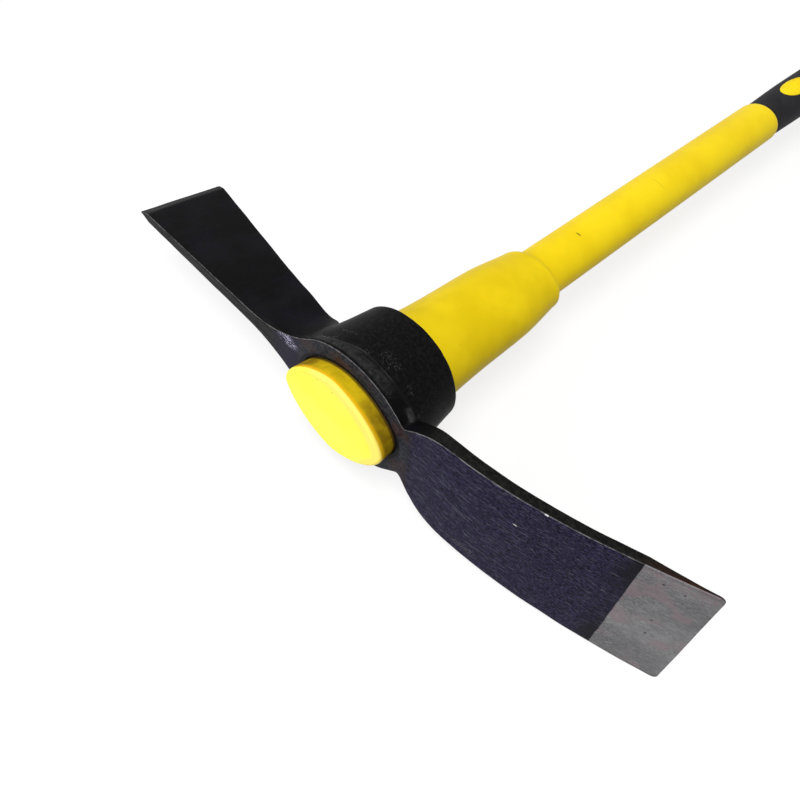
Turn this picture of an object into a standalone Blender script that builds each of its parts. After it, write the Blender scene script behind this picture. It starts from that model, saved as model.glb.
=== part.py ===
# Cutter mattock: a forged head with an adze and an axe, slipped onto a plastic-jacketed fibreglass handle.
# Metres, +Z up. The handle runs along +Y from the centre of its head-end face. The adze points to +X and
# the axe to -X. The tool lies on its side, so the adze's cutting edge is upright and the axe's lies level.

import math

import bmesh
import bpy
import numpy as np

# Handle
HANDLE_LENGTH = 0.900
CAP_PROUD = 0.0112  # how far the handle's head end stands out of the eye
CAP_X = 0.0710
CAP_Z = 0.0526
CAP_POINTEDNESS = 1.62  # superellipse exponent of the cap's face: 2 is a plain ellipse
CAP_EDGE_RADIUS = 0.0019
CAP_WALL = 0.012  # solid plastic in front of the core
EYE_POINTEDNESS = 1.80  # the same of the eye's front mouth
BOSS_WAIST = 0.035  # how far behind the eye the boss's first fall ends
BOSS_WAIST_X = 0.0544
BOSS_WAIST_Z = 0.0430
BOSS_BELLY = 0.070  # how far behind the eye the barrel starts to close
BOSS_BELLY_X = 0.0528
BOSS_BELLY_Z = 0.0396
BOSS_LENGTH = 0.1010
BOSS_END_X = 0.0456
BOSS_END_Z = 0.0330
SHOULDER_LENGTH = 0.006
SHAFT_X = 0.0346
SHAFT_Z = 0.0276
SHAFT_END_X = 0.0340
SHAFT_END_Z = 0.0290
SHAFT_END_ROUND = 0.0045
CORE_X = 0.0210
CORE_Z = 0.0150

# Grip
GRIP_REACH = 0.4462  # from the head-end face to the grip's front edge
GRIP_START_X = 0.0318
GRIP_START_Z = 0.0254
GRIP_X = 0.0344
GRIP_Z = 0.0278
GRIP_SWELL_LENGTH = 0.060
GRIP_WALL = 0.0022
POMMEL_X = 0.0420
POMMEL_Z = 0.0350
POMMEL_LENGTH = 0.045
POMMEL_ROUND = 0.007
BUTT_WALL = 0.008
WINDOW_COUNT = 5
WINDOW_LENGTH = 0.040
WINDOW_WIDTH = 0.0175
FIRST_WINDOW = 0.051  # from the grip's start to the first window's centre
LAST_WINDOW = 0.085  # from the last window's centre to the butt
PAD_RISE = 0.0004

# Eye of the head
EYE_DEPTH = 0.0430
EYE_FRONT_X = 0.0852
EYE_FRONT_Z = 0.0694
EYE_REAR_X = 0.0708
EYE_REAR_Z = 0.0678
EYE_REAR_FULLNESS = 2.06  # superellipse exponent of the collar's rear rim
RIM_DEPTH = 0.0092  # the forging's front band, which the blades grow out of
RIM_AXE_DEPTH = 0.005  # the band narrows to this towards the axe
RIM_AXE_REACH = 0.025
RIM_STEP_X = 0.0016  # how far the band stands out from the collar behind it
RIM_STEP_Z = 0.0010
COLLAR_AXE_REACH = 0.0475  # the collar's front is drawn out to a point towards the axe
COLLAR_AXE_POINTEDNESS = 1.75
COLLAR_AXE_FADE = 0.022  # how far behind the eye's front that point has gone
COLLAR_LEAN = 0.0009  # how much nearer the adze the collar's rear lies than its front
COLLAR_EDGE_RADIUS = 0.0015
BORE_FRONT_X = 0.0688
BORE_FRONT_Z = 0.0494
BORE_REAR_X = 0.0586
BORE_REAR_Z = 0.0488
BORE_CHAMFER = 0.0006

# Adze
ADZE_REACH = 0.1878  # from the handle's axis to the cutting edge
ADZE_EDGE_WIDTH = 0.0816
ADZE_SHOULDER_WIDTH = 0.0650
ADZE_NECK_REACH = 0.032
ADZE_SHOULDER_REACH = 0.072
ADZE_NECK_FILLET = 0.005
ADZE_DIP = 0.0020  # the plate first leans this far forward of the eye
ADZE_SWEEP = 0.0203  # then its edge lies this far behind the eye's front
ADZE_SWEEP_CURVE = 1.63
ADZE_NECK_THICKNESS = 0.010
ADZE_SHOULDER_THICKNESS = 0.0070
ADZE_THICKNESS = 0.0052
ADZE_EDGE_THICKNESS = 0.0012
ADZE_GROUND_LENGTH = 0.031
ADZE_CORNER_RADIUS = 0.003

# Axe
AXE_REACH = 0.1933
AXE_EDGE_WIDTH = 0.0532
AXE_MID_WIDTH = 0.0388
AXE_MID_REACH = 0.100
AXE_ROOT_WIDTH = 0.0303
AXE_ROOT_REACH = 0.045
AXE_JOIN_WIDTH = 0.0262  # where the blade comes out of the collar
AXE_JOIN_REACH = 0.036
AXE_SETBACK = 0.0082  # how far the front side leans back towards the edge
AXE_ROOT_THICKNESS = 0.0096
AXE_TIP_THICKNESS = 0.0070
AXE_EDGE_THICKNESS = 0.0010
AXE_BEVEL_LENGTH = 0.0075
AXE_EDGE_SKEW = 0.0080  # how much further the edge's front corner reaches
AXE_NECK_REACH = 0.030
AXE_CHEEK_REACH = 0.084
AXE_CHEEK_DROP = 0.006  # behind their front edge the cheeks fall by this, so the collar stands proud of them
AXE_DROP_DEPTH = 0.004  # within this depth
AXE_DROP_REACH = 0.076  # where the fall has faded out
FORGING_EDGE_RADIUS = 0.0011
THIN_EDGE_SHARE = 0.45  # a corner's greatest radius, as a share of the bar's thickness there

# Fits and fineness
FIT_GAP = 0.0003
CUTTER_EXTRA = 0.006
OVAL_POINTS = 56
CORNER_STEPS = 3

# Colours, roughness and metallic values
PAINTS = {
    "black_steel": ((0.012, 0.012, 0.016), 0.38, 0.6),
    "ground_steel": ((0.33, 0.33, 0.34), 0.42, 1.0),
    "yellow_jacket": ((0.93, 0.72, 0.01), 0.42, 0.0),
    "black_rubber": ((0.02, 0.02, 0.022), 0.65, 0.0),
    "fibreglass": ((0.72, 0.68, 0.50), 0.50, 0.0),
}

EYE_REAR = CAP_PROUD + EYE_DEPTH
BOSS_END = EYE_REAR + BOSS_LENGTH
JACKET_END = HANDLE_LENGTH - BUTT_WALL - FIT_GAP


def clear_scene():
    for obj in list(bpy.data.objects):
        bpy.data.objects.remove(obj, do_unlink=True)


def new_collection(name):
    collection = bpy.data.collections.new(name)
    bpy.context.scene.collection.children.link(collection)
    return collection


def paint(name):
    color, roughness, metallic = PAINTS[name]
    material = bpy.data.materials.new(name)
    material.use_nodes = True
    shader = material.node_tree.nodes["Principled BSDF"]
    shader.inputs["Base Color"].default_value = (*color, 1.0)
    shader.inputs["Roughness"].default_value = roughness
    shader.inputs["Metallic"].default_value = metallic
    material.diffuse_color = (*color, 1.0)
    return material


def blend(start, end, share):
    return start + (end - start) * share


def ease(share):
    # Rises from 0 to 1 with level ends.
    share = min(max(share, 0.0), 1.0)
    return share * share * (3.0 - 2.0 * share)


def smooth_max(first, second, radius):
    return (first + second + math.hypot(first - second, radius)) / 2.0


def curve_through(stations, at):
    # A cubic through (place, value) stations, with each slope kept between its neighbours' slopes.
    places, values = np.array(stations, float).T
    steps = np.diff(values) / np.diff(places)
    slopes = np.concatenate([steps[:1], np.zeros(len(steps) - 1), steps[-1:]])
    for i in range(1, len(steps)):
        if steps[i - 1] * steps[i] > 0:
            slopes[i] = 2.0 / (1.0 / steps[i - 1] + 1.0 / steps[i])
    at = min(max(at, places[0]), places[-1])
    i = min(int(np.searchsorted(places, at, side="right")) - 1, len(steps) - 1)
    width = places[i + 1] - places[i]
    return hermite((at - places[i]) / width, values[i], values[i + 1], slopes[i] * width, slopes[i + 1] * width)


def hermite(share, start, end, start_slope, end_slope):
    squared, cubed = share**2, share**3
    return (
        (1.0 - 3.0 * squared + 2.0 * cubed) * start
        + (share - 2.0 * squared + cubed) * start_slope
        + (3.0 * squared - 2.0 * cubed) * end
        + (cubed - squared) * end_slope
    )


def oval_ring(y, size_x, size_z, exponent=2.0):
    ring = []
    for angle in np.linspace(0.0, math.tau, OVAL_POINTS, endpoint=False):
        across, up = math.cos(angle), math.sin(angle)
        x = math.copysign(abs(across) ** (2.0 / exponent), across) * size_x / 2.0
        z = math.copysign(abs(up) ** (2.0 / exponent), up) * size_z / 2.0
        ring.append((x, y, z))
    return ring


def loft(name, rings, collection, parent, materials=()):
    # One closed body through rings that all have the same number of points.
    shape = bmesh.new()
    layers = [[shape.verts.new(point) for point in ring] for ring in rings]
    for lower, upper in zip(layers, layers[1:]):
        for i in range(len(lower)):
            j = (i + 1) % len(lower)
            shape.faces.new((lower[i], lower[j], upper[j], upper[i]))
    shape.faces.new(layers[0])
    shape.faces.new(reversed(layers[-1]))
    bmesh.ops.recalc_face_normals(shape, faces=shape.faces)
    return finish(name, shape, collection, parent, materials)


def finish(name, shape, collection, parent, materials=()):
    mesh = bpy.data.meshes.new(name)
    shape.to_mesh(mesh)
    shape.free()
    mesh.shade_smooth()
    mesh.set_sharp_from_angle(angle=math.radians(32))
    for material in materials:
        mesh.materials.append(material)
    obj = bpy.data.objects.new(name, mesh)
    collection.objects.link(obj)
    obj.parent = parent
    return obj


def frame_empty(name, location, collection):
    empty = bpy.data.objects.new(name, None)
    empty.location = location
    empty.empty_display_size = 0.05
    collection.objects.link(empty)
    return empty


def hide(tool):
    tool.hide_render = True
    tool.display_type = "WIRE"
    return tool


def boolean(obj, operation, tool):
    modifier = obj.modifiers.new(f"{operation.lower()} {tool.name}", "BOOLEAN")
    modifier.operation = operation
    modifier.solver = "EXACT"
    modifier.object = tool


def oval_column(name, centres, size_x, size_y, height, collection, parent):
    # Upright elliptical columns, one at each centre along Y.
    shape = bmesh.new()
    for y in centres:
        made = bmesh.ops.create_cone(
            shape, cap_ends=True, segments=36, radius1=0.5, radius2=0.5, depth=1.0
        )
        bmesh.ops.scale(shape, vec=(size_x, size_y, height), verts=made["verts"])
        bmesh.ops.translate(shape, vec=(0.0, y, 0.0), verts=made["verts"])
    return hide(finish(name, shape, collection, parent))


# The head's own frame has its origin on the handle's axis, in the plane of the eye's front rim.


def eye_oval(x):
    share = 2.0 * x / EYE_FRONT_X
    return EYE_FRONT_Z / 2.0 * math.sqrt(max(0.0, 1.0 - share**2))


def adze_half_width(x):
    along = (x - ADZE_SHOULDER_REACH) / (ADZE_REACH - ADZE_SHOULDER_REACH)
    half = blend(ADZE_SHOULDER_WIDTH, ADZE_EDGE_WIDTH, along) / 2.0
    if x < ADZE_SHOULDER_REACH:
        share = (ADZE_SHOULDER_REACH - x) / (ADZE_SHOULDER_REACH - ADZE_NECK_REACH)
        half *= math.sqrt(max(0.0, 1.0 - share**2))
    past = x - (ADZE_REACH - ADZE_CORNER_RADIUS)
    if past > 0.0:
        half -= ADZE_CORNER_RADIUS - math.sqrt(max(0.0, ADZE_CORNER_RADIUS**2 - past**2))
    return half


def adze_front(x):
    dip = ADZE_DIP * ease((x - ADZE_NECK_REACH) / (ADZE_SHOULDER_REACH - ADZE_NECK_REACH))
    swept = max(0.0, x - ADZE_SHOULDER_REACH) / (ADZE_REACH - ADZE_SHOULDER_REACH)
    return (ADZE_SWEEP + ADZE_DIP) * swept**ADZE_SWEEP_CURVE - dip


def adze_thickness(x):
    ground = x - ADZE_REACH + ADZE_GROUND_LENGTH
    if ground > 0.0:
        return blend(ADZE_THICKNESS, ADZE_EDGE_THICKNESS, ground / ADZE_GROUND_LENGTH)
    stations = [
        (ADZE_NECK_REACH, ADZE_NECK_THICKNESS),
        (ADZE_SHOULDER_REACH, ADZE_SHOULDER_THICKNESS),
        (ADZE_REACH - ADZE_GROUND_LENGTH, ADZE_THICKNESS),
    ]
    return curve_through(stations, x)


def adze_section(x):
    half = adze_half_width(x)
    if x < EYE_FRONT_X / 2.0 + ADZE_NECK_FILLET:
        half = smooth_max(eye_oval(x), half, ADZE_NECK_FILLET)
    front = adze_front(x)
    return x, half, front, front + adze_thickness(x), 0.0, 0.0


def eye_oval_slope(x):
    share = 2.0 * x / EYE_FRONT_X
    return -share * EYE_FRONT_Z / EYE_FRONT_X / math.sqrt(1.0 - share**2)


def axe_half_thickness(reach):
    # The cheeks leave the eye's oval at its own slope and settle into the blade's flats.
    if reach < AXE_CHEEK_REACH:
        length = AXE_CHEEK_REACH - AXE_NECK_REACH
        start, slope = eye_oval(AXE_NECK_REACH), eye_oval_slope(AXE_NECK_REACH) * length
        return hermite((reach - AXE_NECK_REACH) / length, start, AXE_ROOT_THICKNESS / 2.0, slope, 0.0)
    bevel_start = AXE_REACH - AXE_BEVEL_LENGTH
    if reach < bevel_start:
        share = (reach - AXE_CHEEK_REACH) / (bevel_start - AXE_CHEEK_REACH)
        return blend(AXE_ROOT_THICKNESS, AXE_TIP_THICKNESS, share) / 2.0
    share = (reach - bevel_start) / AXE_BEVEL_LENGTH
    return blend(AXE_TIP_THICKNESS, AXE_EDGE_THICKNESS, share) / 2.0


def bar_depth(reach):
    # From the eye's band towards the axe's edge.
    stations = [
        (0.0, RIM_DEPTH),
        (RIM_AXE_REACH, RIM_AXE_DEPTH),
        (AXE_JOIN_REACH, AXE_JOIN_WIDTH),
        (AXE_ROOT_REACH, AXE_ROOT_WIDTH),
        (AXE_MID_REACH, AXE_MID_WIDTH),
        (AXE_REACH, AXE_EDGE_WIDTH),
    ]
    return curve_through(stations, reach)


def axe_section(x):
    reach = -x
    half = axe_half_thickness(reach)
    along = (reach - AXE_NECK_REACH) / (AXE_REACH - AXE_NECK_REACH)
    drop = AXE_CHEEK_DROP * (1.0 - ease((reach - AXE_ROOT_REACH) / (AXE_DROP_REACH - AXE_ROOT_REACH)))
    front = AXE_SETBACK * along
    return x, half, front, front + bar_depth(reach), AXE_EDGE_SKEW * along, drop


def eye_section(x):
    return x, eye_oval(x), 0.0, bar_depth(-x), 0.0, 0.0


def section_ring(x, half, front, back, skew, drop):
    # A rectangle across the bar with round corners. Its sides fall by drop just behind the front, and skew
    # leans it along X from front to back.
    radius = min(FORGING_EDGE_RADIUS, THIN_EDGE_SHARE * min(2.0 * half, back - front))
    fallen = half - drop
    knee = min(front + AXE_DROP_DEPTH, (front + back) / 2.0)
    corners = [
        (fallen - radius, back - radius, 0.0),
        (-fallen + radius, back - radius, 0.25),
        (-half + radius, front + radius, 0.5),
        (half - radius, front + radius, 0.75),
    ]
    points = []
    for corner_z, corner_y, turn in corners:
        for step in range(CORNER_STEPS + 1):
            angle = math.tau * (turn + 0.25 * step / CORNER_STEPS)
            points.append((corner_z + radius * math.cos(angle), corner_y + radius * math.sin(angle)))
    points.insert(2 * CORNER_STEPS + 2, (-fallen, knee))
    points.append((fallen, knee))
    return [(x + skew * ((y - front) / (back - front) - 0.5), y, z) for z, y in points]


def bar_sections():
    # From the axe's edge through the eye to the adze's edge.
    axe_bevel = AXE_REACH - AXE_BEVEL_LENGTH
    ground = ADZE_REACH - ADZE_GROUND_LENGTH
    round_start = ADZE_REACH - ADZE_CORNER_RADIUS
    axe_places = [-AXE_REACH, -axe_bevel]
    axe_places += list(np.linspace(-axe_bevel, -AXE_CHEEK_REACH, 7)[1:])
    axe_places += list(np.linspace(-AXE_CHEEK_REACH, -AXE_NECK_REACH, 14)[1:-1])
    eye_places = list(np.linspace(-AXE_NECK_REACH, ADZE_NECK_REACH, 25))
    adze_places = list(np.linspace(ADZE_NECK_REACH, ADZE_SHOULDER_REACH, 22)[1:])
    adze_places += list(np.linspace(ADZE_SHOULDER_REACH, ground, 10)[1:])
    adze_places += list(np.linspace(ground, round_start, 4)[1:])
    adze_places += [round_start + ADZE_CORNER_RADIUS * math.sin(math.radians(a)) for a in (25, 45, 62, 76, 90)]
    sections = [axe_section(x) for x in axe_places]
    sections += [eye_section(x) for x in eye_places]
    sections += [adze_section(x) for x in adze_places]
    return sections


def build_bar(collection, parent):
    # The adze, the eye's front band and the axe: one bar, lofted from edge to edge.
    rings = [section_ring(*section) for section in bar_sections()]
    bar = loft("mattock_head", rings, collection, parent, (paint("black_steel"), paint("ground_steel")))
    ground = ADZE_REACH - ADZE_GROUND_LENGTH
    for face in bar.data.polygons:
        if face.center.x > ground and face.normal.y < -0.5:
            face.material_index = 1
    return bar


def build_collar(collection, parent):
    # The eye's collar starts inside the front band and tapers to a rounded rear rim.
    front_x = EYE_FRONT_X - 2.0 * RIM_STEP_X
    front_z = EYE_FRONT_Z - 2.0 * RIM_STEP_Z
    straight = EYE_DEPTH - COLLAR_EDGE_RADIUS
    rings = []
    for y in (FORGING_EDGE_RADIUS, RIM_DEPTH / 2.0, RIM_DEPTH, COLLAR_AXE_FADE, straight):
        share = max(0.0, (y - RIM_DEPTH) / (straight - RIM_DEPTH))
        size_x, size_z = blend(front_x, EYE_REAR_X, share), blend(front_z, EYE_REAR_Z, share)
        ring = oval_ring(y, size_x, size_z, blend(2.0, EYE_REAR_FULLNESS, share))
        point = 1.0 - ease(y / COLLAR_AXE_FADE)
        drawn = oval_ring(
            y, 2.0 * blend(size_x / 2.0, COLLAR_AXE_REACH, point), size_z, blend(2.0, COLLAR_AXE_POINTEDNESS, point)
        )
        rings.append([pulled if pulled[0] < 0.0 else plain for plain, pulled in zip(ring, drawn)])
    for degrees in (30, 60, 90):
        angle = math.radians(degrees)
        inset = 2.0 * COLLAR_EDGE_RADIUS * (1.0 - math.cos(angle))
        y = straight + COLLAR_EDGE_RADIUS * math.sin(angle)
        rings.append(oval_ring(y, EYE_REAR_X - inset, EYE_REAR_Z - inset, EYE_REAR_FULLNESS))
    rings = [[(x + COLLAR_LEAN * (y / EYE_DEPTH - 0.6), y, z) for x, y, z in ring] for ring in rings]
    return hide(loft("eye_collar", rings, collection, parent))


def build_bore(collection, parent):
    # The tapered eye, wider in front, with a small chamfer at both mouths.
    mouths = [
        (-CUTTER_EXTRA, BORE_FRONT_X, BORE_FRONT_Z, BORE_CHAMFER),
        (0.0, BORE_FRONT_X, BORE_FRONT_Z, BORE_CHAMFER),
        (BORE_CHAMFER, BORE_FRONT_X, BORE_FRONT_Z, 0.0),
        (EYE_DEPTH - BORE_CHAMFER, BORE_REAR_X, BORE_REAR_Z, 0.0),
        (EYE_DEPTH, BORE_REAR_X, BORE_REAR_Z, BORE_CHAMFER),
        (EYE_DEPTH + CUTTER_EXTRA, BORE_REAR_X, BORE_REAR_Z, BORE_CHAMFER),
    ]
    rings = []
    for y, size_x, size_z, grow in mouths:
        exponent = bore_exponent(y / EYE_DEPTH)
        rings.append(oval_ring(y, size_x + 2.0 * grow, size_z + 2.0 * grow, exponent))
    return hide(loft("eye_bore", rings, collection, parent))


def bore_exponent(share):
    return blend(EYE_POINTEDNESS, 2.0, min(max(share, 0.0), 1.0))


def build_head(parts, cutters):
    slide = frame_empty("head_slide", (0.0, CAP_PROUD, 0.0), cutters)
    head = build_bar(parts, slide)
    boolean(head, "UNION", build_collar(cutters, slide))
    boolean(head, "DIFFERENCE", build_bore(cutters, slide))
    return head


# The handle's frame is the world's: its origin is the centre of the head-end face.


def cap_rings():
    # The cap's face is wider and more pointed than the eye, and its side closes in to fit the eye's mouth.
    rings = []
    for degrees in (0, 30, 60, 90):
        angle = math.radians(degrees)
        inset = 2.0 * CAP_EDGE_RADIUS * (1.0 - math.sin(angle))
        y = CAP_EDGE_RADIUS * (1.0 - math.cos(angle))
        rings.append(oval_ring(y, CAP_X - inset, CAP_Z - inset, CAP_POINTEDNESS))
    root_x, root_z = BORE_FRONT_X - 2.0 * FIT_GAP, BORE_FRONT_Z - 2.0 * FIT_GAP
    for share in (0.5, 1.0):
        y = blend(CAP_EDGE_RADIUS, CAP_PROUD, share)
        exponent = blend(CAP_POINTEDNESS, EYE_POINTEDNESS, share)
        rings.append(oval_ring(y, blend(CAP_X, root_x, share), blend(CAP_Z, root_z, share), exponent))
    rings.append(oval_ring(CAP_PROUD + BORE_CHAMFER, root_x, root_z, EYE_POINTEDNESS))
    return rings


def boss_rings():
    # The boss starts as wide as the eye's rear mouth lets it and narrows in a barrel curve.
    start_x, start_z = BORE_REAR_X - 2.0 * FIT_GAP, BORE_REAR_Z - 2.0 * FIT_GAP
    widths = [(0.0, start_x), (BOSS_WAIST, BOSS_WAIST_X), (BOSS_BELLY, BOSS_BELLY_X), (BOSS_LENGTH, BOSS_END_X)]
    heights = [(0.0, start_z), (BOSS_WAIST, BOSS_WAIST_Z), (BOSS_BELLY, BOSS_BELLY_Z), (BOSS_LENGTH, BOSS_END_Z)]
    rings = [oval_ring(EYE_REAR - BORE_CHAMFER, start_x, start_z)]
    for along in np.linspace(0.0, BOSS_LENGTH, 11):
        rings.append(oval_ring(EYE_REAR + along, curve_through(widths, along), curve_through(heights, along)))
    for degrees in (18, 36, 54, 72, 90):
        angle = math.radians(degrees)
        y = BOSS_END + SHOULDER_LENGTH * math.sin(angle)
        size_x = blend(SHAFT_X, BOSS_END_X, math.cos(angle))
        size_z = blend(SHAFT_Z, BOSS_END_Z, math.cos(angle))
        rings.append(oval_ring(y, size_x, size_z))
    return rings


def shaft_rings():
    start = BOSS_END + SHOULDER_LENGTH
    round_start = GRIP_REACH - SHAFT_END_ROUND
    rings = []
    for share in (0.25, 0.5, 0.75, 1.0):
        y = blend(start, round_start, share)
        rings.append(oval_ring(y, blend(SHAFT_X, SHAFT_END_X, share), blend(SHAFT_Z, SHAFT_END_Z, share)))
    for degrees in (25, 50, 75, 90):
        angle = math.radians(degrees)
        y = round_start + SHAFT_END_ROUND * math.sin(angle)
        size_x = blend(GRIP_START_X, SHAFT_END_X, math.cos(angle))
        size_z = blend(GRIP_START_Z, SHAFT_END_Z, math.cos(angle))
        rings.append(oval_ring(y, size_x, size_z))
    return rings


def seat_size():
    return GRIP_START_X - 2.0 * GRIP_WALL - 2.0 * FIT_GAP, GRIP_START_Z - 2.0 * GRIP_WALL - 2.0 * FIT_GAP


def window_centres():
    return np.linspace(GRIP_REACH + FIRST_WINDOW, HANDLE_LENGTH - LAST_WINDOW, WINDOW_COUNT)


def grip_sizes(y):
    stations_x = [
        (GRIP_REACH, GRIP_START_X),
        (GRIP_REACH + GRIP_SWELL_LENGTH, GRIP_X),
        (HANDLE_LENGTH - POMMEL_LENGTH, GRIP_X),
        (HANDLE_LENGTH - POMMEL_ROUND, POMMEL_X),
    ]
    stations_z = [
        (GRIP_REACH, GRIP_START_Z),
        (GRIP_REACH + GRIP_SWELL_LENGTH, GRIP_Z),
        (HANDLE_LENGTH - POMMEL_LENGTH, GRIP_Z),
        (HANDLE_LENGTH - POMMEL_ROUND, POMMEL_Z),
    ]
    return curve_through(stations_x, y), curve_through(stations_z, y)


def grip_places():
    places = list(np.linspace(GRIP_REACH + FIT_GAP, GRIP_REACH + GRIP_SWELL_LENGTH, 7))
    places += list(np.linspace(GRIP_REACH + GRIP_SWELL_LENGTH, HANDLE_LENGTH - POMMEL_LENGTH, 4)[1:])
    places += list(np.linspace(HANDLE_LENGTH - POMMEL_LENGTH, HANDLE_LENGTH - POMMEL_ROUND, 7)[1:])
    return places


def build_jacket(parts, cutters, parent):
    seat_x, seat_z = seat_size()
    rings = cap_rings() + boss_rings() + shaft_rings()
    rings += [oval_ring(GRIP_REACH, seat_x, seat_z), oval_ring(JACKET_END, seat_x, seat_z)]
    jacket = loft("handle_jacket", rings, parts, parent, (paint("yellow_jacket"),))
    rise = 2.0 * PAD_RISE
    skin = [oval_ring(y, grip_sizes(y)[0] + rise, grip_sizes(y)[1] + rise) for y in grip_places()]
    pads = hide(loft("window_pads", skin, cutters, parent))
    length, width = WINDOW_LENGTH - 2.0 * FIT_GAP, WINDOW_WIDTH - 2.0 * FIT_GAP
    boolean(pads, "INTERSECT", oval_column(
        "pad_columns", window_centres(), width, length, 2.0 * POMMEL_X, cutters, parent
    ))
    boolean(jacket, "UNION", pads)
    core_space = [
        oval_ring(CAP_WALL - FIT_GAP, CORE_X + 2.0 * FIT_GAP, CORE_Z + 2.0 * FIT_GAP),
        oval_ring(JACKET_END + CUTTER_EXTRA, CORE_X + 2.0 * FIT_GAP, CORE_Z + 2.0 * FIT_GAP),
    ]
    boolean(jacket, "DIFFERENCE", hide(loft("core_space", core_space, cutters, parent)))
    return jacket


def build_core(parts, parent):
    # A solid pultruded rod of oval section, as long as the jacket's hollow.
    length = JACKET_END - CAP_WALL
    shape = bmesh.new()
    bmesh.ops.create_cone(shape, cap_ends=True, segments=32, radius1=0.5, radius2=0.5, depth=length)
    bmesh.ops.scale(shape, vec=(CORE_X, CORE_Z, 1.0), verts=shape.verts)
    core = finish("fibreglass_core", shape, parts, parent, (paint("fibreglass"),))
    core.location = (0.0, CAP_WALL + length / 2.0, 0.0)
    core.rotation_euler = (-math.pi / 2.0, 0.0, 0.0)
    return core


def build_grip(parts, cutters, parent):
    # A rubber sleeve, closed at the butt, with a row of oval windows along each broad side.
    rings = [oval_ring(y, *grip_sizes(y)) for y in grip_places()]
    for degrees in (30, 60, 90):
        angle = math.radians(degrees)
        inset = POMMEL_ROUND * (1.0 - math.cos(angle))
        y = HANDLE_LENGTH - POMMEL_ROUND + POMMEL_ROUND * math.sin(angle)
        rings.append(oval_ring(y, POMMEL_X - 2.0 * inset, POMMEL_Z - 2.0 * inset))
    grip = loft("rubber_grip", rings, parts, parent, (paint("black_rubber"),))
    seat_x, seat_z = seat_size()
    hollow = [
        oval_ring(GRIP_REACH - CUTTER_EXTRA, seat_x + 2.0 * FIT_GAP, seat_z + 2.0 * FIT_GAP),
        oval_ring(HANDLE_LENGTH - BUTT_WALL, seat_x + 2.0 * FIT_GAP, seat_z + 2.0 * FIT_GAP),
    ]
    boolean(grip, "DIFFERENCE", hide(loft("grip_hollow", hollow, cutters, parent)))
    boolean(grip, "DIFFERENCE", oval_column(
        "window_columns", window_centres(), WINDOW_WIDTH, WINDOW_LENGTH, 2.0 * POMMEL_X, cutters, parent
    ))
    return grip


def main():
    clear_scene()
    parts = new_collection("cutter_mattock")
    cutters = new_collection("cutters")
    handle = frame_empty("handle", (0.0, 0.0, 0.0), cutters)
    build_head(parts, cutters)
    build_jacket(parts, cutters, handle)
    build_core(parts, handle)
    build_grip(parts, cutters, handle)


main()
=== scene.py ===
import math

import bmesh
import bpy
import numpy as np
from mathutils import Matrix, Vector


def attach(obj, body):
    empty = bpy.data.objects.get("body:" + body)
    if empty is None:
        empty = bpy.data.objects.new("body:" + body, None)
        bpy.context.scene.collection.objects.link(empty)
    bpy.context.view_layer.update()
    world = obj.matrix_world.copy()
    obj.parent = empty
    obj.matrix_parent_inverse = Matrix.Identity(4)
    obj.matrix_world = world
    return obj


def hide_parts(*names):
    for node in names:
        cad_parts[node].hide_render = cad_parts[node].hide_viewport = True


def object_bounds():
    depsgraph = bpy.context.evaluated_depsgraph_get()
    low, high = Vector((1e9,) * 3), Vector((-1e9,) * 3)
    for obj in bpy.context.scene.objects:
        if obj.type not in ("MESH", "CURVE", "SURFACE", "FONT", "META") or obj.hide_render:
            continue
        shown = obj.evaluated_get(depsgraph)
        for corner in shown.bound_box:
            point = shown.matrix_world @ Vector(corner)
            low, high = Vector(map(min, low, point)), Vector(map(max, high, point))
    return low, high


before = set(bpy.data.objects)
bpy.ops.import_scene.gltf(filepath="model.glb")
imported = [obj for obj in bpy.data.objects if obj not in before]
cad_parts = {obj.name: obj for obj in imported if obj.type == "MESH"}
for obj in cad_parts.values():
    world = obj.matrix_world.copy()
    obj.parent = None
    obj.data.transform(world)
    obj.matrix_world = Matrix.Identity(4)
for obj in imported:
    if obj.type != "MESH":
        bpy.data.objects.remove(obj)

# Looks of a cutter mattock: black forged head, yellow plastic handle, black rubber grip.
# Metres throughout. The handle runs along +Y from its head-end face, the adze points to +X, the axe to -X.

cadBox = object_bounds()
print("frame loaded:", ", ".join(sorted(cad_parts)))


# small maths helpers, all on whole arrays

def lerp(start, end, share):
    return start + (end - start) * share


def smoothStep(low, high, value):
    # rises from 0 at low to 1 at high with level ends
    share = np.clip((value - low) / (high - low), 0.0, 1.0)
    return share * share * (3.0 - 2.0 * share)


def smoothMax(first, second, radius):
    return (first + second + np.hypot(first - second, radius)) / 2.0


def cubicThrough(places, values, at):
    # a cubic through the stations whose slope is the harmonic mean of the two neighbouring slopes
    places, values, at = np.asarray(places, float), np.asarray(values, float), np.asarray(at, float)
    steps = np.diff(values) / np.diff(places)
    slopes = np.concatenate([steps[:1], np.zeros(len(steps) - 1), steps[-1:]])
    rising = steps[:-1] * steps[1:] > 0
    slopes[1:-1][rising] = 2.0 / (1.0 / steps[:-1][rising] + 1.0 / steps[1:][rising])
    at = np.clip(at, places[0], places[-1])
    i = np.clip(np.searchsorted(places, at, side="right") - 1, 0, len(steps) - 1)
    width = places[i + 1] - places[i]
    share = (at - places[i]) / width
    return hermite(share, values[i], values[i + 1], slopes[i] * width, slopes[i + 1] * width)


def hermite(share, start, end, startSlope, endSlope):
    squared, cubed = share**2, share**3
    return ((1 - 3 * squared + 2 * cubed) * start + (share - 2 * squared + cubed) * startSlope
            + (3 * squared - 2 * cubed) * end + (cubed - squared) * endSlope)


def superOval(angles, halfX, halfZ, exponent):
    # |x/halfX|^n + |z/halfZ|^n = 1, walked by angle; n below 2 is more pointed, above 2 fuller
    across, up = np.cos(angles), np.sin(angles)
    x = np.sign(across) * np.abs(across) ** (2.0 / exponent) * halfX
    z = np.sign(up) * np.abs(up) ** (2.0 / exponent) * halfZ
    return x, z


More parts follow.
